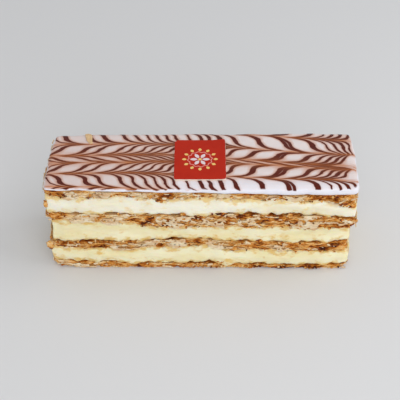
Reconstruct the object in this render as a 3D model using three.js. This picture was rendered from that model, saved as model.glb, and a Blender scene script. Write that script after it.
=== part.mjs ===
// A slice of mille feuille: four sheets of puff pastry with three layers of pastry cream
// between them, feathered fondant icing on top and a thin chocolate plaque on the icing.
// Millimetres, +Z up. The origin is the middle of the underside. X runs along the slice,
// and the two knife cuts face -Y and +Y.
import * as THREE from "three";

// Driving dimensions of the slice.
const LENGTH = 131; // along X, between the trimmed ends
const DEPTH = 37; // along Y, between the knife cuts
const HEIGHT = 44.6; // from the table to the top of the icing, at the left end
const RISE = 0.9; // how much taller the right end is
const FLARE = 1.2; // how much further the front cut reaches at the right end
const SEAT_GAP = 0.3; // clearance between a layer and the one it lies on
const TAPER = 1.6; // how much the back left corner is cut short of square

// The chocolate plaque that lies on the icing.
const PLAQUE_WIDTH = 22;
const PLAQUE_DEPTH = 27.4;
const PLAQUE_THICKNESS = 0.9;
const PLAQUE_CORNER = 0.6;
const PLAQUE_CENTRE_X = -0.4;
const PLAQUE_CENTRE_Y = -0.4;

// How finely a layer is faceted.
const CELLS_LONG = 28;
const CELLS_DEEP = 8;
const RIM = 1.6; // width of the outermost ring of facets, which takes the rounding
const WALL_BANDS = 2; // rows of facets up the side of a layer

// Heights of the seams between layers, at nine even stations from the left end to the right.
// Each seam is the top of the layer that it is named after.
const SEAMS = {
  base: [4.4, 3.2, 3.1, 2.7, 2.8, 2.6, 2.0, 1.9, 2.4],
  bottomCream: [11.5, 11.6, 11.1, 12.2, 13.5, 10.5, 11.4, 10.2, 9.7],
  lowerSheet: [14.4, 15.1, 15.0, 16.5, 16.8, 15.5, 15.5, 15.2, 16.3],
  middleCream: [26.9, 26.6, 25.9, 23.6, 24.3, 23.6, 24.0, 23.6, 23.6],
  upperSheet: [31.1, 30.4, 31.0, 30.3, 30.1, 31.4, 30.4, 30.4, 28.3],
  topCream: [39.3, 39.4, 40.7, 38.4, 40.2, 39.1, 39.1, 38.1, 35.7],
  topSheet: [43.4, 43.4, 43.3, 42.9, 42.9, 42.4, 42.1, 42.0, 41.8],
};
const SEAM_RIPPLE = 0.2; // unevenness of every seam on top of its stations
const SEAM_SLANT = 0.25; // how far a seam's waves shift along the slice, for each mm of depth

// How far each layer reaches past the nominal block at its ends and cuts, how ragged that
// edge is, and how much its side swells (or, below zero, is scooped) at mid height.
const EDGES = {
  base: { left: -0.8, right: -1.4, front: 0.1, back: 0.2, ragged: 0.5, swell: 0.2 },
  bottomCream: { left: -0.2, right: -1.1, front: -0.3, back: -0.4, ragged: 0.35, swell: 0.5 },
  lowerSheet: { left: 0.4, right: -1.6, front: 0.1, back: 0.2, ragged: 0.6, swell: 0.3 },
  middleCream: { left: -1.3, right: -1.2, front: -0.5, back: -0.4, ragged: 0.35, swell: -0.4 },
  upperSheet: { left: 0.4, right: 0.6, front: 0.2, back: 0.1, ragged: 0.6, swell: 0.3 },
  topCream: { left: 0.0, right: 0.0, front: -0.3, back: -0.3, ragged: 0.3, swell: 0.4 },
  topSheet: { left: 0.6, right: 0.1, front: 0.1, back: 0.2, ragged: 0.5, swell: 0.3 },
  icing: { left: 0.2, right: 0.2, front: 0.2, back: 0.5, ragged: 0.2, swell: 0.3 },
};
const ICING_ROUNDING = 0.5; // drop of the icing's top at its outer edge
const ICING_WAVE = 0.12; // unevenness of the icing's top
const BASE_LIFT = 0.5; // how far the base's outer edge turns up off the table
const CORNER_CUT = 0.9; // how far a layer's upright corners are pulled in

const halfLength = LENGTH / 2;
const halfDepth = DEPTH / 2;

// A smooth curve through evenly spaced stations, for a share from 0 to 1.
function through(stations, share) {
  const last = stations.length - 1;
  const at = THREE.MathUtils.clamp(share * last, 0, last);
  const i = Math.min(Math.floor(at), last - 1);
  const eased = THREE.MathUtils.smoothstep(at - i, 0, 1);
  return THREE.MathUtils.lerp(stations[i], stations[i + 1], eased);
}

// Two crossing waves that give a seam its unevenness, between about -1 and 1.
function ripple(x, y, phase) {
  const along = Math.sin((2 * Math.PI * x) / 23 + phase + y * 0.06);
  const across = Math.sin((2 * Math.PI * x) / 37 - phase * 1.7 - y * 0.11);
  return 0.6 * along + 0.4 * across;
}

// The height of a named seam at a place.
function seamHeight(name, x, y) {
  const phase = 0.4 + 1.5 * Object.keys(SEAMS).indexOf(name);
  const along = x + SEAM_SLANT * (y + halfDepth);
  const level = through(SEAMS[name], (along + halfLength) / LENGTH);
  return level + SEAM_RIPPLE * ripple(x, y, phase);
}

// The icing's top, which is nearly level.
function icingTop(x, y) {
  const risen = HEIGHT + (RISE * (x + halfLength)) / LENGTH;
  return risen - ICING_WAVE * (1 - ripple(x, y, 1.3));
}

// Grid lines from -half to half with a narrow cell at each end.
function gridLines(half, cells) {
  const inner = half - RIM;
  const lines = [-half];
  for (let i = 0; i <= cells - 2; i++) {
    lines.push(-inner + (2 * inner * i) / (cells - 2));
  }
  lines.push(half);
  return lines;
}

// How ragged an edge is at a place along it, between -1 and 1.
function raggedness(along, phase) {
  const coarse = Math.sin(along * 0.83 + phase * 2.1);
  const fine = Math.sin(along * 1.97 - phase * 3.3);
  return 0.55 * coarse + 0.45 * fine;
}

// Moves a grid point of the nominal block out to a layer's own edge, in plan.
function placeInPlan(x, y, edge, phase) {
  const endShare = Math.pow(Math.abs(x) / halfLength, 10);
  const cutShare = Math.pow(Math.abs(y) / halfDepth, 8);
  const endReach = (x < 0 ? edge.left : edge.right) + edge.ragged * raggedness(y, phase);
  const cutReach = (y < 0 ? edge.front : edge.back) + edge.ragged * raggedness(x, phase + 1);
  const corner = CORNER_CUT * endShare * cutShare;
  const taper = x < 0 ? (TAPER * (y + halfDepth)) / DEPTH : 0;
  const flare = y < 0 ? (FLARE * (x + halfLength)) / LENGTH : 0;
  return new THREE.Vector2(
    x + Math.sign(x) * (endShare * endReach - corner) + endShare * taper,
    y + Math.sign(y) * (cutShare * (cutReach + flare) - corner),
  );
}

// The grid's outer ring, anticlockwise seen from above.
function perimeter(columns, rows) {
  const ring = [];
  for (let i = 0; i < columns; i++) ring.push([i, 0]);
  for (let j = 0; j < rows; j++) ring.push([columns, j]);
  for (let i = columns; i > 0; i--) ring.push([i, rows]);
  for (let j = rows; j > 0; j--) ring.push([0, j]);
  return ring;
}

// One layer as a closed solid between two height functions of (x, y, onEdge).
function layerGeometry(lower, upper, edge, phase) {
  const xs = gridLines(halfLength, CELLS_LONG);
  const ys = gridLines(halfDepth, CELLS_DEEP);
  const rows = CELLS_DEEP + 1;
  const points = [];
  const indices = [];

  for (const height of [lower, upper]) {
    xs.forEach((x, i) =>
      ys.forEach((y, j) => {
        const plan = placeInPlan(x, y, edge, phase);
        const onEdge = i === 0 || j === 0 || i === CELLS_LONG || j === CELLS_DEEP;
        points.push(new THREE.Vector3(plan.x, plan.y, height(plan.x, plan.y, onEdge)));
      }),
    );
  }
  const low = (i, j) => i * rows + j;
  const high = (i, j) => (CELLS_LONG + 1) * rows + low(i, j);
  for (let i = 0; i < CELLS_LONG; i++) {
    for (let j = 0; j < CELLS_DEEP; j++) {
      const [a, b, c, d] = [[i, j], [i + 1, j], [i + 1, j + 1], [i, j + 1]];
      indices.push(high(...a), high(...b), high(...c), high(...a), high(...c), high(...d));
      indices.push(low(...a), low(...c), low(...b), low(...a), low(...d), low(...c));
    }
  }

  // The side wall, with its middle rings pushed out by the swell.
  const ring = perimeter(CELLS_LONG, CELLS_DEEP);
  let below = ring.map(([i, j]) => low(i, j));
  for (let band = 1; band <= WALL_BANDS; band++) {
    const share = band / WALL_BANDS;
    const above = ring.map(([i, j]) => {
      if (band === WALL_BANDS) return high(i, j);
      const foot = points[low(i, j)];
      const head = points[high(i, j)];
      const onWall = foot.clone().lerp(head, share);
      const outward = new THREE.Vector3(
        i === 0 ? -1 : i === CELLS_LONG ? 1 : 0,
        j === 0 ? -1 : j === CELLS_DEEP ? 1 : 0,
        0,
      ).normalize();
      points.push(onWall.addScaledVector(outward, edge.swell));
      return points.length - 1;
    });
    ring.forEach((_, p) => {
      const q = (p + 1) % ring.length;
      indices.push(below[p], below[q], above[q], below[p], above[q], above[p]);
    });
    below = above;
  }
  const geometry = new THREE.BufferGeometry().setFromPoints(points);
  geometry.setIndex(indices);
  geometry.computeVertexNormals();
  return geometry;
}

// The plaque: a thin tile with rounded corners, its underside at z = 0.
function plaqueGeometry() {
  const w = PLAQUE_WIDTH / 2;
  const d = PLAQUE_DEPTH / 2;
  const r = PLAQUE_CORNER;
  const outline = new THREE.Shape();
  outline.moveTo(-w + r, -d);
  outline.lineTo(w - r, -d);
  outline.absarc(w - r, -d + r, r, -Math.PI / 2, 0);
  outline.lineTo(w, d - r);
  outline.absarc(w - r, d - r, r, 0, Math.PI / 2);
  outline.lineTo(-w + r, d);
  outline.absarc(-w + r, d - r, r, Math.PI / 2, Math.PI);
  outline.lineTo(-w, -d + r);
  outline.absarc(-w + r, -d + r, r, Math.PI, 1.5 * Math.PI);
  const tile = { depth: PLAQUE_THICKNESS, bevelEnabled: false, curveSegments: 4 };
  return new THREE.ExtrudeGeometry(outline, tile);
}

const pastry = new THREE.MeshStandardMaterial({ color: 0xc98f4e, roughness: 0.65 });
const palePastry = new THREE.MeshStandardMaterial({ color: 0xd8a968, roughness: 0.65 });
const custard = new THREE.MeshStandardMaterial({ color: 0xe9dfb2, roughness: 0.45 });
const whippedCustard = new THREE.MeshStandardMaterial({ color: 0xf1ebd3, roughness: 0.45 });
const fondant = new THREE.MeshStandardMaterial({ color: 0xe2d8d6, roughness: 0.25 });
const redChocolate = new THREE.MeshStandardMaterial({ color: 0xb12c1c, roughness: 0.35 });

const seam = (name, offset) => (x, y) => seamHeight(name, x, y) + offset;
const tabletop = (x, y, onEdge) => (onEdge ? BASE_LIFT : 0);
const roundedIcing = (x, y, onEdge) => icingTop(x, y) - (onEdge ? ICING_ROUNDING : 0);

// The layers from the table up: each lies on the seam of the one below it.
const LAYERS = [
  ["pastry_base", "base", palePastry],
  ["cream_bottom", "bottomCream", custard],
  ["pastry_lower", "lowerSheet", pastry],
  ["cream_middle", "middleCream", custard],
  ["pastry_upper", "upperSheet", pastry],
  ["cream_top", "topCream", whippedCustard],
  ["pastry_top", "topSheet", pastry],
  ["fondant_icing", "icing", fondant],
];

function layerMesh([nodeName, key, material], order) {
  const lower = order === 0 ? tabletop : seam(LAYERS[order - 1][1], SEAT_GAP / 2);
  const upper = key === "icing" ? roundedIcing : seam(key, -SEAT_GAP / 2);
  const phase = 1 + order * 1.37;
  const mesh = new THREE.Mesh(layerGeometry(lower, upper, EDGES[key], phase), material);
  mesh.name = nodeName;
  return mesh;
}

function plaqueMesh() {
  const mesh = new THREE.Mesh(plaqueGeometry(), redChocolate);
  mesh.name = "plaque";
  const plaqueEnd = PLAQUE_CENTRE_X + PLAQUE_WIDTH / 2;
  mesh.position.set(PLAQUE_CENTRE_X, PLAQUE_CENTRE_Y, icingTop(plaqueEnd, 0) + SEAT_GAP);
  return mesh;
}

const slice = new THREE.Group();
slice.add(...LAYERS.map(layerMesh), plaqueMesh());

// The ragged edges differ from side to side, so the slice is centred over its origin.
const middle = new THREE.Box3().setFromObject(slice).getCenter(new THREE.Vector3());
slice.position.set(-middle.x, -middle.y, 0);

export default slice;
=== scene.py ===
"""A slice of mille feuille: flaky puff pastry, pastry cream, feathered fondant and a plaque.

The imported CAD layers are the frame. Each one is replaced by a detailed piece of the same size
in the same place. Lengths are in millimetres inside the functions, and MM turns them into
the scene's metres.
"""

import math
import random

import bpy
from mathutils import Euler, Matrix, Vector, noise
from mathutils.bvhtree import BVHTree


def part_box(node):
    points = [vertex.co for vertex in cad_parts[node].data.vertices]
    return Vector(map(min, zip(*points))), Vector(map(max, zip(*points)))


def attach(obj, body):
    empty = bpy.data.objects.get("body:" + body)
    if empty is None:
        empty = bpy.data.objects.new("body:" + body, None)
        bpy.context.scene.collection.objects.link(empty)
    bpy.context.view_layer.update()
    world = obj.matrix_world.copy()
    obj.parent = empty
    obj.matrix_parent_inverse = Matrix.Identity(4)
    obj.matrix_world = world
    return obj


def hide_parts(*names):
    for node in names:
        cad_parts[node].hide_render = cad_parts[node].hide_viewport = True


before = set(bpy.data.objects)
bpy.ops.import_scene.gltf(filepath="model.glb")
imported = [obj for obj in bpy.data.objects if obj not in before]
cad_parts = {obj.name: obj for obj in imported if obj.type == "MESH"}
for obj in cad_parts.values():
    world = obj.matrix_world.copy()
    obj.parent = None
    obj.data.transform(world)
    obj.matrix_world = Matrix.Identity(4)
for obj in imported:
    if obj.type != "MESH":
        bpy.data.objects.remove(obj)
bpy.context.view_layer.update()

MM = 0.001

# The camera looks at the middle of the slice from the front, well above the table.
CAMERA_DISTANCE = 470.7
CAMERA_ELEVATION = math.radians(40)
CAMERA_LENS = 96.3
CAMERA_AIM = Vector((-0.55, 0.41, 22.8))

# The pastry's leaves and crumb are rings round a plain core, because only their edges show.
RING_WIDTH = 3.4
LEAF_CELL = 0.5
LEAF_FILL = 0.6  # the share of a sheet's thickness that its leaves take up
LEAF_CORNER = 1.6  # how much a leaf's corners are cut back
RIM_WIDTH = 3.0  # how wide a leaf's torn and curled rim is
CORE_INSET = 2.2
CRUMB_INSET = 0.6
CRUMB_WIDTH = 2.6
CRUMB_CELL = 0.42

ENDS = ("left", "right")  # the sides that run from front to back

# How far inside a layer's ends and cuts its height is read, clear of their unevenness.
END_PROBE = 2.2
CUT_PROBE = 2.0

CREAM_SWELL = 0.3  # how far the cut cream stands proud of its CAD layer
CREAM_CELL = 0.5
SOAKED = 3.2  # how deep the flakes next to it tinge the cream

# Each pastry sheet: its CAD node, how many leaves it has, how far the leaves reach past the
# cut at most, and the seed of its unevenness.
SHEETS = [
    ("pastry_base", 3, 0.2, 11),
    ("pastry_lower", 5, 0.35, 23),
    ("pastry_upper", 6, 0.35, 37),
    ("pastry_top", 6, 0.0, 51),
]

# Each cream layer: its CAD node, its material slot and its seed.
CREAMS = [
    ("cream_bottom", "pastry_cream", 5),
    ("cream_middle", "pastry_cream", 8),
    ("cream_top", "light_cream", 13),
]

# Stretches of each sheet's front cut that are baked brown, as (from, to, how brown).
BROWNED = {
    "pastry_base": [(-36, -30, 0.6), (-12, 0, 0.5), (6, 15, 0.9), (15, 40, 0.6), (42, 58, 0.8)],
    "pastry_lower": [
        (-68, -40, 0.7), (-19, -12, 0.8), (-5, 1, 0.9), (12, 17, 0.8), (19, 26, 1.0),
        (27, 33, 0.6), (38, 66, 1.0),
    ],
    "pastry_upper": [
        (-66, -57, 0.9), (-44, -40, 0.5), (-32, -20, 1.0), (-17, -14, 0.7), (-8, 1, 0.8),
        (4, 22, 0.7), (24, 40, 0.8), (49, 66, 1.0),
    ],
    "pastry_top": [
        (-67, -57, 0.9), (-51, -46, 0.5), (-38, -30, 0.8), (-20, -9, 1.0), (-4, 5, 0.8),
        (16, 26, 1.0), (29, 36, 0.9), (44, 58, 1.0), (60, 67, 0.7),
    ],
}

BASE_BROWNING = {"pastry_base": 0.5, "pastry_top": 0.0}  # how brown the rest of a sheet is

# Lumps of pastry that hang out of the front cut, as (place along, height, width, thickness).
LUMPS = [
    (-65.4, 12.9, 3.0, 4.0), (-16.3, 25.2, 3.4, 2.2), (-17.2, 38.7, 3.6, 2.6),
    (14.2, 12.0, 3.0, 2.6), (9.6, 3.8, 4.4, 2.2), (8.4, 31.6, 3.6, 1.5), (37.6, 30.6, 2.4, 2.4),
    (56.2, 41.2, 2.6, 2.0), (59.6, 37.0, 4.2, 2.4), (63.2, 36.0, 3.0, 3.0),
    (-7.4, 31.2, 2.2, 1.4), (25.0, 16.0, 2.6, 1.6),
    (-65.8, 35.8, 1.8, 3.2), (-43.0, 28.8, 2.4, 1.6), (-30.5, 15.4, 2.2, 1.2), (64.4, 27.4, 3.0, 1.2),
]

# How many loose pieces of each kind stick to each side of every sheet, how far they keep from
# its corners and below the icing, and how much browner than the rest the burnt crumbs are.
LOOSE_COUNTS = (("front", 34), ("back", 34), ("left", 7), ("right", 7))
LOOSE_MARGIN = 2.6
TOP_CLEARANCE = 2.6
BURNT = 0.7

# Cream dragged over the pastry: the size of its mesh's cells, their rows up a sheet, how thick
# and how proud of the cut it is, how far it reaches below and above a sheet, and how much of
# each sheet's side is covered, from -1 for none to 1 for all.
SMEAR_CELL = 0.34
SMEAR_ROWS = 20
SMEAR_THICKNESS = 0.45
SMEAR_PROUD = 0.22
SMEAR_BELOW = 0.9
SMEAR_ABOVE = 1.5
SMEAR_COVER = {
    "pastry_base": 0.05,
    "pastry_lower": 0.15,
    "pastry_upper": 0.25,
    "pastry_top": 0.15,
}

# Chocolate lines piped across the icing, as (place along the slice, width), before combing.
PIPED_LINES = [
    (-63.8, 0.6), (-59.4, 2.1), (-48.4, 1.8), (-42.4, 1.8), (-33.4, 1.4), (-28.3, 1.2),
    (-23.2, 1.0), (-19.0, 1.0), (-15.0, 1.2), (-11.2, 1.2), (-5.6, 0.9), (-0.2, 1.6),
    (3.7, 1.6), (8.4, 1.8), (14.5, 1.8), (25.2, 2.4), (36.3, 2.0), (38.5, 1.5),
    (48.3, 2.3), (54.0, 0.9), (57.8, 1.2), (61.2, 1.4), (64.0, 1.0),
]
LINE_SHARE = 12  # lines that one colour ramp holds
LINE_MARGIN = 7  # how far a ramp reaches past its first and last line
RAMP_REACH = (-2.0, 6.0)  # distances to a line's edge that a ramp can tell apart
TAIL_THICKNESS = 0.24  # half the least thickness of a combed line

# Strokes of the comb along the icing: where each runs at the left end, where it begins to
# bend to the front and how steeply, how far it drags the lines, how widely, and how wide a
# trail of mixed chocolate it leaves.
COMB_STROKES = [
    (21.6, -8, 0.115, -9.0, 1.25, 0.7),
    (11.8, -12, 0.114, 10.0, 1.3, 0.9),
    (4.0, -15, 0.113, -10.0, 1.25, 1.5),
    (-1.0, 0, 0.090, 9.0, 1.2, 1.5),
    (-8.2, -30, 0.067, -10.0, 1.3, 0.9),
    (-17.0, -46, 0.080, 7.0, 1.1, 0.5),
]
COMB_LIFT = (57.0, 66.0)  # where the comb leaves the icing at the right end
ROW_SLIP = (1.6, 3.7)  # how far the middle rows lie to the left, at the left and right end
CLEAN_FRONT = (-15.5, -11.0)  # where the clean icing along the front ends
CLEAN_FROM = (-16.0, -8.0)  # where it begins, from the left

# The icing: how much it swells, how much higher its right end is, how much that makes for each
# millimetre, and how far below its top the lines end.
ICING_SWELL = 0.25
ICING_CELL = 0.4
ICING_RISE = 0.9
RIM_RISE = 0.0068
LEAST_RIM_DEPTH = 0.35
MEAN_RIM_DEPTH = 1.6
RIM_UNEVENNESS = 2.4

# The soft flake that lies on the icing: its middle, its size, its share of the way along the
# icing, and how far it stands proud.
FLAKE_PLACE = (-49.0, 15.4)
FLAKE_SIZE = (3.4, 7.0)
FLAKE_THICKNESS = 0.5
FLAKE_SHARE = 0.14
FLAKE_LIFT = 0.2

# The plaque: how far it curls, how much its corners and edges are worn, and how deep it sits.
CURL = 0.7
NIBBLE = 0.7
SMALL_NIBBLE = 0.25
EDGE_WEAR = 0.3
SEATING = 0.35

# The print, a plain flower in the plaque's middle: its relief, its petals, the wavy ring round
# them and the lozenges outside that. Sizes are (length outwards, width).
PRINT_RELIEF = 0.03
PETALS = 6
PETAL_DISTANCE = 2.6
PETAL_SIZE = (3.2, 1.7)
HEART_SIZE = (1.6, 1.5)
RING_RADIUS = 5.0
RING_WAVES = 12
RING_SWING = 0.28
WAVE_WIDTH = 0.44
LOZENGES = 12
LOZENGE_DISTANCE = 6.7
LOZENGE_SIZE = (2.0, 1.5)

# The stage: the floor's size in metres, the world's light, and the lamps, each as (name,
# place, size, power), aimed at the middle of the slice.
FLOOR_SIZE = 6
WORLD_LIGHT = 0.58
LAMPS = [
    ("window", (560, -20, 520), 520, 1.42),
    ("front_fill", (150, -700, 420), 700, 2.7),
]
LAMP_TARGET = (0, 0, 20)


# ---------------------------------------------------------------------------
# Working with pieces
# ---------------------------------------------------------------------------


def alone(piece):
    """Makes a piece the only one that the next operator acts on."""
    bpy.ops.object.select_all(action="DESELECT")
    piece.select_set(True)
    bpy.context.view_layer.objects.active = piece


def new_piece(name):
    """Takes the primitive that was just added as a piece."""
    piece = bpy.context.view_layer.objects.active
    piece.name = name
    piece.data.name = name
    return piece


def edit(piece):
    """Opens a piece for editing with all of it selected."""
    alone(piece)
    bpy.ops.object.mode_set(mode="EDIT")
    bpy.ops.mesh.select_all(action="SELECT")


def done():
    bpy.ops.object.mode_set(mode="OBJECT")


def finish_modifier(piece, kind, **settings):
    """Adds a modifier and applies it."""
    alone(piece)
    modifier = piece.modifiers.new(kind.title(), kind)
    for key, value in settings.items():
        setattr(modifier, key, value)
    bpy.ops.object.modifier_apply(modifier=modifier.name)


def keep_faces(piece, wanted):
    """Deletes the faces whose centre, in millimetres, isn't wanted."""
    edit(piece)
    bpy.ops.mesh.select_mode(type="FACE")
    bpy.ops.mesh.select_all(action="DESELECT")
    done()
    for face in piece.data.polygons:
        face.select = not wanted(face.center / MM)
    bpy.ops.object.mode_set(mode="EDIT")
    bpy.ops.mesh.delete(type="FACE")
    done()


def move_points(piece, place):
    """Moves each point of a piece to place(point), both in millimetres."""
    for vertex in piece.data.vertices:
        vertex.co = place(vertex.co / MM) * MM
    piece.data.update()


def ruffle(piece, size, strength, seed, stretch=(1, 1, 1), depth=2, direction="NORMAL"):
    """Displaces a piece by cloudy noise with features of the given size."""
    texture = bpy.data.textures.new("ruffle", "CLOUDS")
    texture.noise_scale = 1.0
    texture.noise_depth = depth
    guide = bpy.data.objects.new("ruffle_guide", None)
    bpy.context.collection.objects.link(guide)
    guide.location = (seed * 0.0137, seed * 0.0071, seed * 0.0093)
    guide.scale = [size * MM * s for s in stretch]
    bpy.context.view_layer.update()
    finish_modifier(
        piece,
        "DISPLACE",
        texture=texture,
        texture_coords="OBJECT",
        texture_coords_object=guide,
        strength=strength * MM,
        mid_level=0.5,
        direction=direction,
    )
    bpy.data.objects.remove(guide)
    bpy.data.textures.remove(texture)


def copy_of(node, name):
    """A merged copy of a CAD layer, to be shaped as a piece of its own."""
    piece = bpy.data.objects.new(name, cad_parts[node].data.copy())
    piece.data.materials.clear()
    bpy.context.collection.objects.link(piece)
    edit(piece)
    bpy.ops.mesh.customdata_custom_splitnormals_clear()
    bpy.ops.mesh.remove_doubles(threshold=0.01 * MM)
    done()
    return piece


def joined(pieces, name):
    """One piece from several."""
    bpy.ops.object.select_all(action="DESELECT")
    for piece in pieces:
        piece.select_set(True)
    bpy.context.view_layer.objects.active = pieces[0]
    bpy.ops.object.join()
    return new_piece(name)


def put_on(piece, material, slot, *nodes):
    """Gives a piece its material and its body, and hides the CAD nodes that it stands for; the slot
    is not used.
    """
    piece.data.materials.clear()
    piece.data.materials.append(material)
    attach(piece, "root")
    if nodes:
        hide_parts(*nodes)


def waver(a, b, seed):
    """Smooth noise between about -1 and 1 at a place on a plane."""
    return noise.noise(Vector((a, b, seed * 7.31)))


def ease(share):
    share = min(max(share, 0.0), 1.0)
    return share * share * (3 - 2 * share)


# ---------------------------------------------------------------------------
# Where a CAD layer's faces are
# ---------------------------------------------------------------------------


class Layer:
    """Reads the heights and the outline of a CAD layer, in millimetres."""

    OUTLINE_STEP = 0.5

    def __init__(self, node):
        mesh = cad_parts[node].data
        points = [v.co / MM for v in mesh.vertices]
        self.tree = BVHTree.FromPolygons(points, [p.vertices[:] for p in mesh.polygons])
        low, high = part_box(node)
        self.low, self.high = low / MM, high / MM
        self.levels = [self.low.z + (self.high.z - self.low.z) * s / 8 for s in range(9)]
        self.front = self._outline("y", -1)
        self.back = self._outline("y", 1)
        self.left = self._outline("x", -1)
        self.right = self._outline("x", 1)

    def _outline(self, axis, side):
        """How far the layer reaches on one side, at even steps along that side."""
        along = 0 if axis == "y" else 1
        across = 1 - along
        reaches = []
        start, end = self.low[along], self.high[along]
        for i in range(int((end - start) / self.OUTLINE_STEP) + 1):
            best = None
            for level in self.levels:
                origin = Vector((0, 0, level))
                origin[along] = start + i * self.OUTLINE_STEP
                origin[across] = side * 200
                ray = Vector((0, 0, 0))
                ray[across] = -side
                hit = self.tree.ray_cast(origin, ray)[0]
                if hit and (best is None or hit[across] * side > best * side):
                    best = hit[across]
            reaches.append(best)
        known = [i for i, reach in enumerate(reaches) if reach is not None]
        first, last = known[0] + 4, known[-1] - 4
        return [reaches[min(max(i, first), last)] for i in range(len(reaches))]

    def _read(self, reaches, start, at):
        place = min(max((at - start) / self.OUTLINE_STEP, 0), len(reaches) - 1.001)
        i = int(place)
        return reaches[i] + (reaches[i + 1] - reaches[i]) * (place - i)

    def front_at(self, x):
        return self._read(self.front, self.low.x, x)

    def back_at(self, x):
        return self._read(self.back, self.low.x, x)

    def left_at(self, y):
        return self._read(self.left, self.low.y, y)

    def right_at(self, y):
        return self._read(self.right, self.low.y, y)

    def heights(self, x, y):
        """The underside and the top of the layer at a place, read a little inside its rim."""
        for pull in (1.0, 0.985, 0.96, 0.93, 0.88):
            foot = self.tree.ray_cast(Vector((x * pull, y * pull, -50)), Vector((0, 0, 1)))[0]
            head = self.tree.ray_cast(Vector((x * pull, y * pull, 99)), Vector((0, 0, -1)))[0]
            if foot and head and head.z - foot.z > 1.0:
                return foot.z, head.z
        return self.low.z, self.high.z

    def heights_inside(self, x, y):
        """The heights at the nearest place that is well inside the ends and cuts."""
        x = min(max(x, self.low.x + END_PROBE), self.high.x - END_PROBE)
        y = min(max(y, self.front_at(x) + CUT_PROBE), self.back_at(x) - CUT_PROBE)
        return self.heights(x, y)

    def side_spot(self, side, along):
        """A place on a side of the layer: its reach, which way is out, and a spot inside."""
        reach = getattr(self, side + "_at")(along)
        outward = math.copysign(1, reach)
        inside = reach - outward * END_PROBE
        spot = (inside, along) if side in ENDS else (along, inside)
        return reach, outward, spot

    def side_span(self, side):
        """Where a side of the layer begins and ends."""
        if side in ENDS:
            return self.low.y, self.high.y
        return self.low.x, self.high.x


# ---------------------------------------------------------------------------
# Painting
# ---------------------------------------------------------------------------


def shade(red, green, blue):
    """A colour as it looks on a screen, 0 to 255, made linear for a shader."""
    return tuple((c / 255) ** 2.2 for c in (red, green, blue)) + (1.0,)


class Paint:
    """A material with short ways to add the nodes that the finishes share."""

    def __init__(self, name):
        self.material = bpy.data.materials.new(name)
        self.material.use_nodes = True
        self.tree = self.material.node_tree
        self.shader = self.tree.nodes["Principled BSDF"]
        coords = self.tree.nodes.new("ShaderNodeTexCoord")
        self.place = self.scaled(coords.outputs["Object"], (1000, 1000, 1000))
        split = self.tree.nodes.new("ShaderNodeSeparateXYZ")
        self.join(self.place, split.inputs[0])
        self.x, self.y, self.z = split.outputs

    def join(self, source, socket):
        """Links a socket, or sets it where a plain value is given."""
        if isinstance(source, bpy.types.NodeSocket):
            self.tree.links.new(source, socket)
        else:
            socket.default_value = source

    def scaled(self, vector, factors):
        node = self.tree.nodes.new("ShaderNodeVectorMath")
        node.operation = "MULTIPLY"
        self.join(vector, node.inputs[0])
        self.join(factors, node.inputs[1])
        return node.outputs[0]

    def math(self, operation, *values, clamp=False):
        node = self.tree.nodes.new("ShaderNodeMath")
        node.operation = operation
        node.use_clamp = clamp
        for value, socket in zip(values, node.inputs):
            self.join(value, socket)
        return node.outputs[0]

    def remap(self, value, low, high, start=0.0, end=1.0):
        """Turns low to high into start to end, smoothly and clamped."""
        node = self.tree.nodes.new("ShaderNodeMapRange")
        node.interpolation_type = "SMOOTHSTEP"
        for source, name in (
            (value, "Value"),
            (low, "From Min"),
            (high, "From Max"),
            (start, "To Min"),
            (end, "To Max"),
        ):
            self.join(source, node.inputs[name])
        return node.outputs["Result"]

    def noise(self, size, stretch=(1, 1, 1), detail=3.0, roughness=0.55, seed=0):
        """Noise with features of a size in millimetres."""
        node = self.tree.nodes.new("ShaderNodeTexNoise")
        shift = self.tree.nodes.new("ShaderNodeVectorMath")
        factors = tuple(1 / (size * s) for s in stretch)
        self.join(self.scaled(self.place, factors), shift.inputs[0])
        self.join((seed * 3.7, seed * 5.1, seed * 2.3), shift.inputs[1])
        self.join(shift.outputs[0], node.inputs["Vector"])
        self.join(1.0, node.inputs["Scale"])
        self.join(detail, node.inputs["Detail"])
        self.join(roughness, node.inputs["Roughness"])
        return node.outputs["Fac"]

    def mix(self, factor, first, second):
        node = self.tree.nodes.new("ShaderNodeMix")
        node.data_type = "RGBA"
        self.join(factor, node.inputs[0])
        self.join(first, node.inputs[6])
        self.join(second, node.inputs[7])
        return node.outputs[2]

    def ramp(self, factor, stops):
        """A colour ramp through (position, colour) stops."""
        node = self.tree.nodes.new("ShaderNodeValToRGB")
        elements = node.color_ramp.elements
        for position, colour in stops[1:-1]:
            elements.new(position).color = colour
        elements[0].position, elements[0].color = stops[0]
        elements[-1].position, elements[-1].color = stops[-1]
        for element, (position, colour) in zip(elements, stops):
            element.position = position
            element.color = colour
        self.join(factor, node.inputs[0])
        return node.outputs[0]

    def bump(self, height, distance, strength=1.0):
        node = self.tree.nodes.new("ShaderNodeBump")
        self.join(height, node.inputs["Height"])
        self.join(distance * MM, node.inputs["Distance"])
        self.join(strength, node.inputs["Strength"])
        self.join(node.outputs[0], self.shader.inputs["Normal"])

    def set(self, **sockets):
        """Sets or links the shader's sockets, named with underscores for spaces."""
        for name, value in sockets.items():
            self.join(value, self.shader.inputs[name.replace("_", " ")])


# ---------------------------------------------------------------------------
# Finishes
# ---------------------------------------------------------------------------


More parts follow.
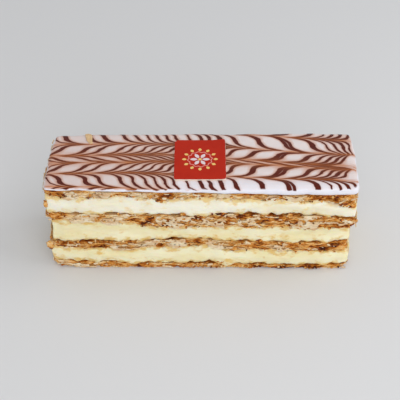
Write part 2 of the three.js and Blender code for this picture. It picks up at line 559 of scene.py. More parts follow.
def cream_finish(name, clean, deep, crumb, seed):
    """Pastry cream: moist and smooth, with yellow patches where flakes lie under it."""
    paint = Paint(name)
    cloud = paint.noise(9, stretch=(2.2, 1, 1), detail=3, seed=seed)
    body = paint.mix(paint.remap(cloud, 0.35, 0.68), clean, deep)
    patch = paint.noise(3.4, stretch=(1.3, 1.3, 0.8), detail=3, seed=seed + 1)
    mark = paint.tree.nodes.new("ShaderNodeAttribute")
    mark.attribute_name = "seam"
    soaked = paint.math("MULTIPLY_ADD", mark.outputs["Fac"], 0.24, patch)
    colour = paint.mix(paint.remap(soaked, 0.57, 0.78, 0, 0.9), body, crumb)
    streaks = paint.noise(1.1, stretch=(5, 5, 0.8), detail=4, seed=seed + 2)
    grain = paint.noise(0.35, detail=2, seed=seed + 3)
    height = paint.math("MULTIPLY_ADD", grain, 0.35, streaks)
    paint.bump(height, 0.35, 0.55)
    paint.set(
        Base_Color=colour,
        Roughness=paint.remap(cloud, 0.3, 0.7, 0.42, 0.58),
        Subsurface_Weight=0.35,
        Subsurface_Radius=(1.0, 0.75, 0.4),
        Subsurface_Scale=0.0025,
        Specular_IOR_Level=0.45,
    )
    return paint.material


def pastry_finish(name, seed):
    """Baked puff pastry: pale crumb, golden edges, brown where the sheet is marked so, and painted
    shade on the flat leaf faces that show only in the gaps.
    """
    paint = Paint(name)
    blotch = paint.noise(4.5, stretch=(1.8, 1.8, 0.6), detail=3, seed=seed)
    fleck = paint.noise(1.2, stretch=(2.6, 2.6, 0.6), detail=4, roughness=0.65, seed=seed + 1)
    tone = paint.math("MULTIPLY_ADD", fleck, 0.6, paint.math("MULTIPLY", blotch, 0.7))
    mark = paint.tree.nodes.new("ShaderNodeAttribute")
    mark.attribute_name = "browning"
    pale = paint.math("MULTIPLY_ADD", paint.remap(tone, 0.44, 0.86), 0.85, 0.32)
    baked = paint.ramp(
        paint.math("MULTIPLY_ADD", mark.outputs["Fac"], -0.47, pale),
        [
            (0.0, shade(72, 28, 2)),
            (0.08, shade(116, 50, 2)),
            (0.18, shade(174, 92, 8)),
            (0.36, shade(216, 143, 56)),
            (0.56, shade(233, 182, 110)),
            (0.8, shade(239, 206, 154)),
            (1.0, shade(246, 224, 182)),
        ],
    )
    # Faces that point up or down show only in the gaps between the leaves, so they are painted darker
    # brown: this is painted shade for those gaps.
    geometry = paint.tree.nodes.new("ShaderNodeNewGeometry")
    split = paint.tree.nodes.new("ShaderNodeSeparateXYZ")
    paint.join(geometry.outputs["Normal"], split.inputs[0])
    level = paint.remap(paint.math("ABSOLUTE", split.outputs[2]), 0.6, 0.95)
    gap_shaded = paint.mix(paint.math("MULTIPLY", level, 0.45), baked, shade(138, 74, 26))
    paint.bump(paint.noise(0.5, detail=4, roughness=0.7, seed=seed + 2), 0.35, 0.7)
    paint.set(
        Base_Color=gap_shaded,
        Roughness=paint.remap(fleck, 0.3, 0.7, 0.42, 0.75),
        Subsurface_Weight=0.12,
        Subsurface_Radius=(1.0, 0.6, 0.3),
        Subsurface_Scale=0.0012,
        Specular_IOR_Level=0.3,
    )
    return paint.material


def smear_finish():
    """Thin cream dragged over the pastry edges by the knife, with crumb in it."""
    paint = Paint("smeared_cream")
    cloud = paint.noise(3.0, stretch=(2, 2, 0.6), detail=5, roughness=0.6, seed=4)
    colour = paint.ramp(
        paint.remap(cloud, 0.32, 0.72),
        [
            (0.0, shade(204, 158, 112)),
            (0.4, shade(227, 197, 157)),
            (1.0, shade(241, 226, 196)),
        ],
    )
    paint.bump(paint.noise(0.7, stretch=(2.5, 2.5, 0.7), detail=4, seed=6), 0.35, 0.7)
    paint.set(
        Base_Color=colour,
        Roughness=0.5,
        Subsurface_Weight=0.25,
        Subsurface_Radius=(1.0, 0.75, 0.4),
        Subsurface_Scale=0.0015,
    )
    return paint.material


def distance_to_lines(paint, along):
    """How far a place is from the edge of the nearest piped line, in mm; less than 0 on it."""
    nearest, farthest = RAMP_REACH
    parts = []
    for first in range(0, len(PIPED_LINES), LINE_SHARE):
        lines = PIPED_LINES[first : first + LINE_SHARE]
        start, end = lines[0][0] - LINE_MARGIN, lines[-1][0] + LINE_MARGIN
        ridges = [(start, farthest)]
        for i, (middle, width) in enumerate(lines):
            ridges.append((middle, -width / 2))
            if i + 1 < len(lines):
                next_middle, next_width = lines[i + 1]
                between = (middle + next_middle + width / 2 - next_width / 2) / 2
                ridges.append((between, between - middle - width / 2))
        ridges.append((end, farthest))
        stops = []
        for at, distance in ridges:
            grey = (min(distance, farthest) - nearest) / (farthest - nearest)
            stops.append(((at - start) / (end - start), (grey, grey, grey, 1)))
        share = paint.math("SUBTRACT", along, start)
        share = paint.math("DIVIDE", share, end - start, clamp=True)
        parts.append(paint.ramp(share, stops))
    grey = parts[0]
    for part in parts[1:]:
        grey = paint.math("MINIMUM", grey, part)
    return paint.math("MULTIPLY_ADD", grey, farthest - nearest, nearest)


def fondant_finish(icing_top):
    """White fondant with chocolate lines piped across and combed to and fro along it."""
    paint = Paint("feathered_fondant")
    wobble = paint.noise(16, detail=1, seed=2)
    jitter = paint.noise(4.5, detail=2, seed=3)
    y = paint.math("MULTIPLY_ADD", paint.math("SUBTRACT", wobble, 0.5), 1.8, paint.y)
    along = paint.math("MULTIPLY_ADD", paint.math("SUBTRACT", jitter, 0.5), 2.0, paint.x)
    lift = paint.remap(paint.x, *COMB_LIFT, 1.0, 0.12)
    smear, shear = 0.0, 0.0
    strokes = []
    for at, bend_start, slope, drag, spread, trail in COMB_STROKES:
        bend = paint.math("MAXIMUM", paint.math("SUBTRACT", paint.x, bend_start), 0.0)
        stroke = paint.math("MULTIPLY_ADD", bend, -slope, at)
        strokes.append(paint.math("SUBTRACT", y, stroke))
        away = paint.math("ABSOLUTE", strokes[-1])
        pull = paint.math("EXPONENT", paint.math("DIVIDE", away, -spread))
        pull = paint.math("MULTIPLY", pull, lift)
        along = paint.math("MULTIPLY_ADD", pull, -drag, along)
        shear = paint.math("MULTIPLY_ADD", pull, abs(drag) / spread, shear)
        mark = paint.math("EXPONENT", paint.math("DIVIDE", away, -trail))
        smear = paint.math("MAXIMUM", smear, mark)
    # The middle rows of lines lie further to the left, most of all beyond the plaque.
    behind = paint.remap(strokes[1], -0.7, 0.7, 1, 0)
    row = paint.math("MULTIPLY", behind, paint.remap(strokes[4], -0.7, 0.7))
    slip = paint.math("MULTIPLY", row, paint.remap(paint.x, 8, 24, *ROW_SLIP))
    along = paint.math("ADD", along, slip)
    # A sheared line keeps a least thickness, and its edge stays as sharp as before.
    beyond = paint.math("MULTIPLY_ADD", shear, -TAIL_THICKNESS, distance_to_lines(paint, along))
    stretched = paint.math("ADD", shear, 1.0)
    edge = paint.math("DIVIDE", beyond, paint.math("MULTIPLY", stretched, -0.22))
    chocolate = paint.math("ADD", edge, 0.5, clamp=True)
    halo = paint.math("DIVIDE", beyond, paint.math("MULTIPLY", stretched, -0.95))
    halo = paint.math("ADD", halo, 1.0, clamp=True)
    streaks = paint.noise(0.5, stretch=(16, 1, 1), detail=3, roughness=0.6, seed=5)
    streak = paint.remap(streaks, 0.35, 0.62)
    drawn = paint.math("MULTIPLY", smear, paint.math("MULTIPLY_ADD", streak, 0.6, 0.4))

    tinge = paint.remap(paint.x, -60, 30, 0.75, 0.25)
    white = paint.mix(tinge, shade(236, 228, 228), shade(222, 202, 198))
    # Beyond the last stroke's end, the icing along the front stays clean.
    clean = paint.remap(paint.y, *CLEAN_FRONT, 1, 0)
    clean = paint.math("MULTIPLY", clean, paint.remap(paint.x, *CLEAN_FROM))
    white = paint.mix(clean, white, shade(236, 231, 237))
    tint = paint.math("MULTIPLY_ADD", clean, -0.5, 0.85)
    pink = paint.mix(paint.math("MULTIPLY", halo, tint), white, shade(206, 156, 134))
    combed = paint.mix(paint.math("MULTIPLY", drawn, 1.15, clamp=True), pink, shade(190, 118, 72))
    dark = paint.mix(paint.noise(1.6, detail=3, seed=7), shade(66, 14, 2), shade(106, 35, 10))
    milky = paint.mix(paint.math("MULTIPLY", drawn, 0.8), dark, shade(172, 98, 50))
    # The lines run just over the rim of the icing, each to its own length.
    rim = paint.math("MULTIPLY_ADD", paint.x, RIM_RISE, icing_top)
    uneven = paint.noise(3.6, detail=1, seed=9)
    ends = paint.math("MULTIPLY_ADD", uneven, RIM_UNEVENNESS, -MEAN_RIM_DEPTH)
    ends = paint.math("MINIMUM", ends, -LEAST_RIM_DEPTH)
    ends = paint.math("ADD", ends, rim)
    on_top = paint.remap(paint.math("SUBTRACT", paint.z, ends), -0.2, 0.2)
    laid = paint.math("MULTIPLY", chocolate, on_top)
    colour = paint.mix(laid, paint.mix(on_top, shade(232, 231, 240), combed), milky)

    relief = paint.math("MULTIPLY_ADD", laid, 0.35, paint.noise(2.5, detail=3, seed=8))
    paint.bump(relief, 0.12, 0.6)
    paint.set(
        Base_Color=colour,
        Roughness=paint.remap(laid, 0, 1, 0.34, 0.24),
        Specular_IOR_Level=0.22,
        Coat_Weight=0.05,
        Coat_Roughness=0.12,
        Subsurface_Weight=0.15,
        Subsurface_Radius=(1.0, 0.8, 0.7),
        Subsurface_Scale=0.001,
    )
    return paint.material


def plaque_finish(printed_top):
    """A white chocolate tile whose upper face is printed red."""
    paint = Paint("printed_plaque")
    mottle = paint.noise(6, detail=3, seed=3)
    red = paint.mix(mottle, shade(192, 42, 10), shade(172, 32, 6))
    white = paint.mix(paint.noise(2, detail=2, seed=4), shade(240, 228, 214), shade(226, 206, 190))
    geometry = paint.tree.nodes.new("ShaderNodeNewGeometry")
    split = paint.tree.nodes.new("ShaderNodeSeparateXYZ")
    paint.join(geometry.outputs["Normal"], split.inputs[0])
    facing = paint.remap(split.outputs[2], 0.55, 0.75)
    high = paint.remap(paint.z, printed_top - 0.5, printed_top - 0.35)
    paint.bump(paint.noise(1.5, detail=3, seed=5), 0.05, 0.4)
    paint.set(
        Base_Color=paint.mix(paint.math("MULTIPLY", facing, high), white, red),
        Roughness=paint.remap(mottle, 0.3, 0.7, 0.3, 0.42),
        Specular_IOR_Level=0.16,
    )
    return paint.material


def plain_finish(name, colour, other, roughness, seed):
    """A print colour with a faint mottle."""
    paint = Paint(name)
    paint.set(
        Base_Color=paint.mix(paint.noise(1.2, detail=2, seed=seed), colour, other),
        Roughness=roughness,
    )
    return paint.material


# ---------------------------------------------------------------------------
# Marks that the finishes read
# ---------------------------------------------------------------------------


def browning_at(node, point):
    """How brown the pastry is baked at a place, from 0 to 1."""
    loose = 0.36 + 0.95 * waver(point.x / 5 + point.z / 4, point.y / 5, 3)
    if node is None or point.y > -15:
        return min(max(loose, 0.0), 1.0)
    x = point.x + 3.2 * waver(point.x / 4, point.z / 1.6, 5) + 1.2 * waver(point.x, point.z, 7)
    brown = 0.0
    for start, end, strength in BROWNED[node]:
        brown = max(brown, strength * ease((x - start + 2) / 4) * ease((end + 2 - x) / 4))
    brown *= 0.8 + 0.7 * waver(point.x / 2.5, point.z / 1.1, 9)
    return min(max(brown + BASE_BROWNING.get(node, 0.12), 0.0), 1.0)


def mark_points(piece, name, value_at):
    """Stores a value at each point of a piece, for its finish to read."""
    mark = piece.data.attributes.new(name, "FLOAT", "POINT")
    mark.data.foreach_set("value", [value_at(v.co / MM) for v in piece.data.vertices])


# ---------------------------------------------------------------------------
# Pastry sheets
# ---------------------------------------------------------------------------


def rim_offset(along, reach, limit, seed):
    """How far a leaf's torn rim stands past the outline at a place along a side."""
    torn = 0.9 * waver(along * 0.16, 0, seed) + 0.6 * waver(along * 0.6, 4, seed)
    torn += 0.45 * waver(along * 1.7, 9, seed)
    return min(max(reach + torn, -2.2), limit)


def leaf_ring(layer, name, share, thickness, limit, seed):
    """One leaf of a pastry sheet: a wavy ring with a torn outer rim."""
    half_x = (layer.high.x - layer.low.x) / 2
    half_y = (layer.high.y - layer.low.y) / 2
    bpy.ops.mesh.primitive_grid_add(
        x_subdivisions=int(2 * half_x / LEAF_CELL),
        y_subdivisions=int(2 * half_y / LEAF_CELL),
        size=2,
    )
    leaf = new_piece(name)
    edit(leaf)
    bpy.ops.transform.resize(value=(half_x * MM, half_y * MM, 1))
    done()
    keep_faces(leaf, lambda c: abs(c.x) > half_x - RING_WIDTH or abs(c.y) > half_y - RING_WIDTH)
    chance = random.Random(seed)
    reach = limit + chance.uniform(-1.0, -0.2)
    curl = chance.uniform(-0.5, 0.5)

    def place(point):
        u, v = point.x / half_x, point.y / half_y
        centre_x, centre_y = u * half_x, v * half_y
        front, back = layer.front_at(centre_x), layer.back_at(centre_x)
        left, right = layer.left_at(centre_y), layer.right_at(centre_y)
        x = left + (right - left) * (u + 1) / 2
        y = front + (back - front) * (v + 1) / 2
        near_end = ease(1 - (1 - abs(u)) * half_x / RIM_WIDTH)
        near_cut = ease(1 - (1 - abs(v)) * half_y / RIM_WIDTH)
        corner = LEAF_CORNER * near_end * near_cut
        side_x, side_y = math.copysign(1, u), math.copysign(1, v)
        x += side_x * (near_end * rim_offset(y, reach, limit, seed + side_x) - corner)
        y += side_y * (near_cut * rim_offset(x, reach, limit, seed + 3 + side_y) - corner)
        inner_x = min(max(x, left + END_PROBE), right - END_PROBE)
        inner_y = min(max(y, front + CUT_PROBE), back - CUT_PROBE)
        foot, head = layer.heights(inner_x, inner_y)
        wave = 0.13 * waver(x / 7, y / 7, seed) + 0.06 * waver(x / 2.2, y / 2.2, seed + 1)
        rim = max(near_end, near_cut)
        level = foot + (head - foot) * min(max(share + wave, 0.03), 0.97)
        crimp = 0.3 * waver(x / 1.4, y / 1.4, seed + 5)
        level += rim * (curl * waver(x / 5, y / 5, seed + 2) + crimp)
        level = min(max(level, foot + 0.55 * thickness), head - 0.4 * thickness)
        return Vector((x, y, level))

    move_points(leaf, place)
    finish_modifier(leaf, "SOLIDIFY", thickness=thickness * MM, offset=0)
    return leaf


def crumb_ring(layer, node, name, seed):
    """The crumb between the leaves: a lumpy ring just inside the cut."""
    ring = copy_of(node, name)
    inset_copy(ring, layer, CRUMB_INSET)
    inner = copy_of(node, "crumb_cutter")
    inset_copy(inner, layer, CRUMB_INSET + CRUMB_WIDTH, lift=3.0)
    finish_modifier(ring, "BOOLEAN", operation="DIFFERENCE", object=inner, solver="EXACT")
    bpy.data.objects.remove(inner)
    finish_modifier(ring, "REMESH", mode="VOXEL", voxel_size=CRUMB_CELL * MM)
    ruffle(ring, 2.2, 1.7, seed, stretch=(1.6, 1.6, 0.7), depth=2)
    ruffle(ring, 0.8, 0.6, seed + 1, stretch=(1.3, 1.3, 0.8), depth=1)

    def hold(point):
        foot, head = layer.heights_inside(point.x, point.y)
        return Vector((point.x, point.y, min(max(point.z, foot + 0.05), head - 0.15)))

    move_points(ring, hold)
    return ring


def inset_copy(piece, layer, inset, lift=0.0):
    """Draws a copy of a layer in from its outline, and optionally makes it taller."""
    centre = (layer.low + layer.high) / 2
    half = (layer.high - layer.low) / 2
    shrink_x = 1 - inset / half.x
    shrink_y = 1 - inset / half.y

    def place(point):
        x = centre.x + (point.x - centre.x) * shrink_x
        y = centre.y + (point.y - centre.y) * shrink_y
        foot, head = layer.heights(x * 0.99, y * 0.98)
        above = point.z > (foot + head) / 2
        return Vector((x, y, point.z + (lift if above else -lift)))

    move_points(piece, place)


def pastry_sheet(node, leaf_count, limit, seed, material):
    """A puff pastry sheet: its core, the crumb and the leaves that show round it."""
    layer = Layer(node)
    core = copy_of(node, node + "_core")
    inset_copy(core, layer, CORE_INSET)
    pieces = [core]
    foot, head = layer.heights(0, 0)
    thickness = LEAF_FILL * (head - foot) / leaf_count
    for i in range(leaf_count):
        share = (i + 0.5) / leaf_count
        leaf = leaf_ring(layer, node + "_leaf", share, thickness, limit, seed + 17 * i)
        pieces.append(leaf)
    sheet = joined(pieces, node + "_leaves")
    ruffle(sheet, 0.7, 0.25, seed, depth=2)
    move_points(sheet, lambda p: Vector((p.x, p.y, max(p.z, 0.05))))
    mark_points(sheet, "browning", lambda p: browning_at(node, p))
    put_on(sheet, material, "pastry", node)
    crumb = crumb_ring(layer, node, node + "_crumb", seed)
    mark_points(crumb, "browning", lambda p: browning_at(node, p))
    put_on(crumb, material, "pastry")
    return layer


# ---------------------------------------------------------------------------
# Creams
# ---------------------------------------------------------------------------


def cream_layer(node, slot, seed, material):
    """A cream layer: a soft slab, dragged smooth by the knife, whose seams wander."""
    layer = Layer(node)
    cream = copy_of(node, node + "_body")
    finish_modifier(cream, "REMESH", mode="VOXEL", voxel_size=CREAM_CELL * MM)
    finish_modifier(cream, "SMOOTH", factor=0.5, iterations=3)
    finish_modifier(cream, "DISPLACE", strength=CREAM_SWELL * MM, mid_level=0)
    ruffle(cream, 9, 0.9, seed, stretch=(2, 2, 0.8), depth=1)
    ruffle(cream, 6, 3.6, seed + 4, stretch=(1, 1, 4), depth=1, direction="Z")
    ruffle(cream, 2.4, 2.4, seed + 2, stretch=(1.3, 1.3, 3), depth=2, direction="Z")
    ruffle(cream, 1.6, 0.4, seed + 1, stretch=(4, 4, 0.8), depth=3)
    alone(cream)
    bpy.ops.object.shade_smooth()

    def nearness(point):
        foot, head = layer.heights_inside(point.x, point.y)
        return 1 - min(max(min(point.z - foot, head - point.z) / SOAKED, 0.0), 1.0)

    mark_points(cream, "seam", nearness)
    put_on(cream, material, slot, node)


def beyond_sheet(layer, side, centre):
    """How far, in millimetres, a place on a cut lies above or below the sheet."""
    spots = {
        "front": (centre.x, centre.y + END_PROBE),
        "back": (centre.x, centre.y - END_PROBE),
        "left": (centre.x + END_PROBE, centre.y),
        "right": (centre.x - END_PROBE, centre.y),
    }
    foot, head = layer.heights(*spots[side])
    return max(foot - centre.z, centre.z - head, 0.0)


def smear_patch(node, layer, side, seed, cover):
    """Cream dragged over one side of a pastry sheet by the knife: a skin with holes in it."""
    across = side in ENDS
    low, high = layer.side_span(side)
    low, high = low + 1.0, high - 1.0
    bpy.ops.mesh.primitive_grid_add(
        x_subdivisions=int((high - low) / SMEAR_CELL), y_subdivisions=SMEAR_ROWS, size=2
    )
    patch = new_piece("smear_" + side)

    def place(point):
        along = low + (high - low) * (point.x * MM + 1) / 2
        share = (point.y * MM + 1) / 2
        reach, outward, spot = layer.side_spot(side, along)
        foot, head = layer.heights(*spot)
        level = foot - SMEAR_BELOW + (head - foot + SMEAR_BELOW + SMEAR_ABOVE) * share
        if node == "pastry_top":
            level = min(level, head - 0.2)
        swell = 0.3 * waver(along / 2.2, level / 1.4, seed) + SMEAR_PROUD
        out = reach + outward * swell
        return Vector((out, along, level)) if across else Vector((along, out, level))

    move_points(patch, place)

    def covered(centre):
        along = centre.y if across else centre.x
        broad = 0.6 * waver(along / 8, centre.z / 3.5, seed + 1)
        broad += 0.5 * waver(along / 2.5, centre.z / 1.2, seed + 2)
        pits = waver(along / 0.9, centre.z / 0.7, seed + 3)
        bare = 0.6 * browning_at(node, centre) + 0.35 * beyond_sheet(layer, side, centre)
        return centre.z > 0.3 and broad + cover > bare and pits < 0.4

    keep_faces(patch, covered)
    finish_modifier(patch, "SMOOTH", factor=0.6, iterations=5)
    finish_modifier(patch, "SOLIDIFY", thickness=SMEAR_THICKNESS * MM, offset=0)
    finish_modifier(patch, "SMOOTH", factor=0.5, iterations=2)
    return patch


def smears(material):
    """All the cream that the knife dragged over the pastry."""
    patches = []
    for number, (node, layer) in enumerate(layers.items()):
        for turn, side in enumerate(("front", "back", "left", "right")):
            seed = 40 + number * 5 + turn
            patches.append(smear_patch(node, layer, side, seed, SMEAR_COVER[node]))
    skin = joined(patches, "cream_smears")
    alone(skin)
    bpy.ops.object.shade_smooth()
    put_on(skin, material, "pastry_cream")


# ---------------------------------------------------------------------------
# Loose flakes and crumbs
# ---------------------------------------------------------------------------


def place_copy(pattern, name, spot, turn, scale):
    """A copy of a small piece, with a mesh of its own, turned and put in place."""
    copy = bpy.data.objects.new(name, pattern.data.copy())
    bpy.context.collection.objects.link(copy)
    spread = Matrix.Diagonal(Vector(scale).to_4d())
    copy.data.transform(Matrix.Translation(spot * MM) @ turn.to_matrix().to_4x4() @ spread)
    return copy


def flake_patterns(count):
    """A few curled, torn flakes of pastry, each about 2 mm long."""
    patterns = []
    for number in range(count):
        bpy.ops.mesh.primitive_grid_add(x_subdivisions=4, y_subdivisions=3, size=2)
        flake = new_piece("flake_pattern")

        def place(point, seed=60 + number):
            u, v = point.x * MM, point.y * MM
            x = 1.15 * u + 0.35 * waver(u * 3, v * 3, seed)
            y = 0.55 * v * (1 - 0.3 * u) + 0.3 * waver(u * 3, v * 3, seed + 9)
            return Vector((x, y, 0.22 * u * u + 0.2 * waver(u * 2, v * 2, seed + 5)))

        move_points(flake, place)
        finish_modifier(flake, "SOLIDIFY", thickness=0.2 * MM, offset=0)
        patterns.append(flake)
    return patterns


def crumb_patterns(count):
    """A few crumbs of pastry, each about 1 mm across."""
    patterns = []
    for number in range(count):
        bpy.ops.mesh.primitive_ico_sphere_add(subdivisions=2, radius=0.5 * MM)
        crumb = new_piece("crumb_pattern")

        def place(point, seed=80 + number):
            swell = 1 + 0.5 * noise.noise(point * 1.9 + Vector((seed, 0, 0)))
            return Vector((point.x * swell, point.y * swell, point.z * swell * 0.75))

        move_points(crumb, place)
        patterns.append(crumb)
    return patterns


def scatter(patterns, name, sizes, tilt, seed, material, brown=0.0):
    """Sticks copies of small pieces along the seams of every pastry sheet."""
    chance = random.Random(seed)
    copies = []
    for node, layer in layers.items():
        crest = layer.high.z - (TOP_CLEARANCE if node == "pastry_top" else 0)
        for side, count in LOOSE_COUNTS:
            across = side in ENDS
            low, high = layer.side_span(side)
            for _ in range(count):
                along = chance.uniform(low + LOOSE_MARGIN, high - LOOSE_MARGIN)
                reach, outward, spot = layer.side_spot(side, along)
                foot, head = layer.heights(*spot)
                if chance.random() < 0.6:
                    level = chance.choice((foot, head)) + chance.gauss(0, 0.45)
                else:
                    level = chance.uniform(foot, head)
                level = min(level, crest)
                out = reach - outward * chance.uniform(0.0, 0.5)
                place = Vector((out, along, level)) if across else Vector((along, out, level))
                size = chance.uniform(*sizes)
                place.z = max(place.z, 0.7 * size)
                turn = Euler((chance.gauss(0, tilt), chance.gauss(0, tilt), chance.uniform(0, 6.28)))
                scale = [size * chance.uniform(0.75, 1.3) for _ in range(3)]
                copies.append(place_copy(chance.choice(patterns), name, place, turn, scale))
    for pattern in patterns:
        bpy.data.objects.remove(pattern)
    scattered = joined(copies, name)
    mark_points(scattered, "browning", lambda p: brown + browning_at(None, p * 2))
    put_on(scattered, material, "pastry")


def lumps(material):
    """Lumps of soaked pastry that hang out of the front cut."""
    pieces = []
    for number, (along, level, width, height) in enumerate(LUMPS):
        bpy.ops.mesh.primitive_ico_sphere_add(subdivisions=4, radius=1 * MM)
        lump = new_piece("lump")
        layer = layers["pastry_lower"] if level < 20 else layers["pastry_upper"]
        inside = min(max(along, layer.low.x + 1.5), layer.high.x - 1.5)
        front = layer.front_at(inside) + 0.5
        spot = Vector((inside + 0.6 * (along - inside), front, level))

        def place(point, spot=spot, width=width, height=height, seed=number):
            swell = 1 + 0.6 * noise.noise(point * 1.6 + Vector((seed, 0, 0)))
            swell += 0.35 * noise.noise(point * 4.0 + Vector((seed, 3, 0)))
            shaped = Vector((point.x * width / 2, point.y * 0.9, point.z * height / 2))
            return spot + shaped * swell

        move_points(lump, place)
        pieces.append(lump)
    lump = joined(pieces, "pastry_lumps")
    alone(lump)
    bpy.ops.object.shade_smooth()
    mark_points(lump, "browning", lambda p: 0.85 + 0.5 * waver(p.x / 1.5, p.z / 1.2, 6))
    put_on(lump, material, "pastry")


# ---------------------------------------------------------------------------
# Icing and plaque
# ---------------------------------------------------------------------------


def icing(node, material):
    """The fondant: a thin poured slab with a rounded rim."""
    layer = copy_of(node, "fondant_layer")
    finish_modifier(layer, "REMESH", mode="VOXEL", voxel_size=ICING_CELL * MM)
    finish_modifier(layer, "SMOOTH", factor=0.5, iterations=5)
    finish_modifier(layer, "DISPLACE", strength=ICING_SWELL * MM, mid_level=0)
    ruffle(layer, 7, 0.5, 3, depth=1)
    alone(layer)
    bpy.ops.object.shade_smooth()
    put_on(layer, material, "fondant", node)


def icing_flake(material):
    """A soft flake of pastry that lies across the icing's back edge."""
    bpy.ops.mesh.primitive_grid_add(x_subdivisions=10, y_subdivisions=20, size=2)
    flake = new_piece("icing_flake")
    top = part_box("fondant_icing")[1].z / MM - ICING_RISE * (1 - FLAKE_SHARE)

    def place(point):
        u, v = point.x * MM, point.y * MM
        width = FLAKE_SIZE[0] * (0.8 + 0.25 * v - 0.25 * v * v)
        x = FLAKE_PLACE[0] + width / 2 * u - 0.8 * v + 0.6 * waver(v * 2, 0, 4)
        y = FLAKE_PLACE[1] + FLAKE_SIZE[1] / 2 * v + 0.5 * waver(u * 2, v * 2, 8)
        return Vector((x, y, top + 0.3 * waver(u * 2, v * 2, 2) + FLAKE_LIFT))

    move_points(flake, place)
    finish_modifier(flake, "SOLIDIFY", thickness=FLAKE_THICKNESS * MM, offset=0)
    finish_modifier(flake, "SUBSURF", levels=1)
    put_on(flake, material, "pastry")


class Tile:
    """The plaque's shape in millimetres, with its slight curl and its worn outline."""

    def __init__(self, node):
        low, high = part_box(node)
        self.low, self.high = low / MM, high / MM
        self.middle = (self.low + self.high) / 2
        self.half = (self.high - self.low) / 2

    def top_at(self, x, y):
        """The height of the printed face; it curls up at the right and back."""
        u = (x - self.middle.x) / self.half.x
        v = (y - self.middle.y) / self.half.y
        curl = CURL * max(u, 0) ** 3 * (0.4 + 0.6 * max(v + 0.2, 0))
        return self.high.z - SEATING + curl

    def printed_at(self, outwards, across, angle):
        """A place on the print, from steps outwards from the middle and across that line."""
        x = self.middle.x + outwards * math.cos(angle) - across * math.sin(angle)
        y = self.middle.y + outwards * math.sin(angle) + across * math.cos(angle)
        return Vector((x, y, self.top_at(x, y) + PRINT_RELIEF))


def plaque(tile, node, material):
    """The plaque: a thin tile that curls a little, with worn edges."""
    cells = (44, 54)
    bpy.ops.mesh.primitive_grid_add(x_subdivisions=cells[0], y_subdivisions=cells[1], size=2)
    piece = new_piece("plaque_tile")

    def place(point):
        u, v = point.x * MM, point.y * MM
        side_x = ease((abs(u) - 0.9) / 0.1) * math.copysign(1, u)
        side_y = ease((abs(v) - 0.9) / 0.1) * math.copysign(1, v)
        worn = 0.25 + 0.35 * waver(u * 6, v * 6, 4)
        corner = NIBBLE if u < 0 < v else SMALL_NIBBLE
        x = tile.middle.x + u * tile.half.x - side_x * (EDGE_WEAR * worn + corner * abs(side_y))
        y = tile.middle.y + v * tile.half.y - side_y * (EDGE_WEAR * worn + corner * abs(side_x))
        return Vector((x, y, tile.top_at(x, y)))

    move_points(piece, place)
    thickness = 2 * tile.half.z
    finish_modifier(piece, "SOLIDIFY", thickness=thickness * MM, offset=-1)
    finish_modifier(piece, "BEVEL", width=0.14 * MM, segments=3, limit_method="ANGLE")
    alone(piece)
    bpy.ops.object.shade_smooth_by_angle(angle=math.radians(40))
    put_on(piece, material, "plaque", node)


def printed_shape(tile, name, distance, angle, size, power):
    """A small raised shape of coloured cocoa butter that points away from the middle."""
    bpy.ops.mesh.primitive_grid_add(x_subdivisions=12, y_subdivisions=6, size=2)
    shape = new_piece(name)

    def place(point):
        u, v = point.x * MM, point.y * MM
        outwards = distance + size[0] / 2 * u
        across = size[1] / 2 * v * (1 - abs(u) ** power * 0.92)
        return tile.printed_at(outwards, across, angle)

    move_points(shape, place)
    finish_modifier(shape, "SOLIDIFY", thickness=2 * PRINT_RELIEF * MM, offset=-1)
    return shape


def printed_round(tile, name, count, distance, size, power):
    """Equal shapes spaced evenly round the middle of the plaque."""
    angles = [2 * math.pi * number / count for number in range(count)]
    return [printed_shape(tile, name, distance, angle, size, power) for angle in angles]


def printed_ring(tile):
    """The wavy ring round the petals, closed where its ends meet."""
    bpy.ops.mesh.primitive_grid_add(x_subdivisions=144, y_subdivisions=2, size=2)
    ring = new_piece("plaque_line")

    def wave(point):
        angle = -math.pi * point.x * MM
        swing = RING_SWING * math.sin(RING_WAVES * angle)
        return tile.printed_at(RING_RADIUS + swing + WAVE_WIDTH / 2 * point.y * MM, 0, angle)

    move_points(ring, wave)
    finish_modifier(ring, "WELD", merge_threshold=0.01 * MM)
    finish_modifier(ring, "SOLIDIFY", thickness=2 * PRINT_RELIEF * MM, offset=-1)
    return ring


def plaque_print(tile):
    """A plain flower on the plaque: petals, a wavy ring and lozenges round them."""
    gold = plain_finish("gold_print", shade(248, 212, 132), shade(232, 184, 92), 0.35, 2)
    rose = plain_finish("rose_print", shade(238, 158, 148), shade(226, 124, 116), 0.4, 3)
    white = plain_finish("white_print", shade(238, 226, 228), shade(222, 200, 206), 0.4, 4)

    lozenges = printed_round(tile, "lozenge", LOZENGES, LOZENGE_DISTANCE, LOZENGE_SIZE, 1.6)
    heart = printed_shape(tile, "heart", 0, 0, HEART_SIZE, 3)
    put_on(joined(lozenges + [heart], "plaque_band"), gold, "plaque")
    put_on(printed_ring(tile), rose, "plaque")
    petals = printed_round(tile, "petal", PETALS, PETAL_DISTANCE, PETAL_SIZE, 2)
    put_on(joined(petals, "plaque_sprig"), white, "plaque")


# ---------------------------------------------------------------------------
# Stage
# ---------------------------------------------------------------------------


def floor():
    bpy.ops.mesh.primitive_plane_add(size=FLOOR_SIZE, location=(0, 0, 0))
    ground = new_piece("floor")
    paint = Paint("pale_floor")
    paint.set(Base_Color=shade(221, 222, 224), Roughness=0.7)
    ground.data.materials.append(paint.material)


def lamp(name, place, size, power):
    """A soft square lamp aimed at the middle of the slice; lengths in millimetres."""
    data = bpy.data.lights.new(name, "AREA")
    data.shape = "SQUARE"
    data.size = size * MM
    data.energy = power
    light = bpy.data.objects.new(name, data)
    light.location = Vector(place) * MM
    aim = Vector(LAMP_TARGET) * MM - light.location
    light.rotation_euler = aim.to_track_quat("-Z", "Y").to_euler()
    bpy.context.collection.objects.link(light)


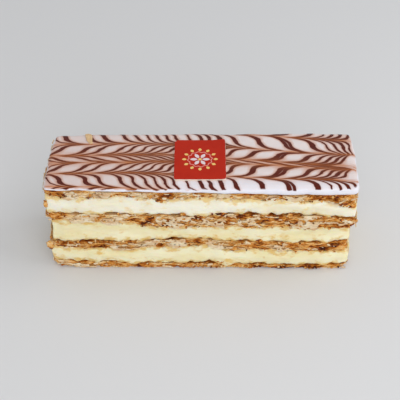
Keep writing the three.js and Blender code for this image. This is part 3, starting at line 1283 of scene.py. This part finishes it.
def studio():
    world = bpy.data.worlds.new("studio")
    bpy.context.scene.world = world
    world.use_nodes = True
    background = world.node_tree.nodes["Background"]
    background.inputs["Color"].default_value = (1, 1, 1, 1)
    background.inputs["Strength"].default_value = WORLD_LIGHT
    for name, place, size, power in LAMPS:
        lamp(name, place, size, power)
    view = bpy.context.scene.view_settings
    view.view_transform = "Standard"
    view.look = "None"


def camera():
    data = bpy.data.cameras.new("camera")
    data.lens = CAMERA_LENS
    data.sensor_width = 36
    data.clip_start = 0.01
    data.clip_end = 20
    eye = bpy.data.objects.new("camera", data)
    level = math.cos(CAMERA_ELEVATION) * CAMERA_DISTANCE
    rise = math.sin(CAMERA_ELEVATION) * CAMERA_DISTANCE
    eye.location = (CAMERA_AIM + Vector((0, -level, rise))) * MM
    eye.rotation_euler = (math.pi / 2 - CAMERA_ELEVATION, 0, 0)
    bpy.context.collection.objects.link(eye)
    bpy.context.scene.camera = eye


# ---------------------------------------------------------------------------
# The slice
# ---------------------------------------------------------------------------

camera()
studio()
floor()

pastry = pastry_finish("baked_pastry", 1)
layers = {
    node: pastry_sheet(node, count, limit, seed, pastry) for node, count, limit, seed in SHEETS
}

custard = cream_finish(
    "pastry_cream", shade(248, 241, 206), shade(240, 227, 176), shade(228, 188, 106), 1
)
light_custard = cream_finish(
    "light_cream", shade(248, 243, 224), shade(243, 234, 202), shade(236, 204, 134), 9
)
for node, slot, seed in CREAMS:
    cream_layer(node, slot, seed, light_custard if slot == "light_cream" else custard)

lumps(pastry)
smears(smear_finish())

scatter(flake_patterns(6), "loose_flakes", (0.5, 0.9), 0.35, 7, pastry)
scatter(crumb_patterns(5), "burnt_crumbs", (0.6, 1.3), 1.5, 9, pastry, BURNT)
scatter(crumb_patterns(5), "loose_crumbs", (0.5, 1.2), 1.5, 8, pastry)

icing_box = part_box("fondant_icing")
icing("fondant_icing", fondant_finish(icing_box[1].z / MM - ICING_RISE / 2))
icing_flake(plain_finish("soft_flake", shade(206, 162, 108), shade(230, 202, 160), 0.6, 5))
tile = Tile("plaque")
plaque(tile, "plaque", plaque_finish(tile.high.z - SEATING))
plaque_print(tile)
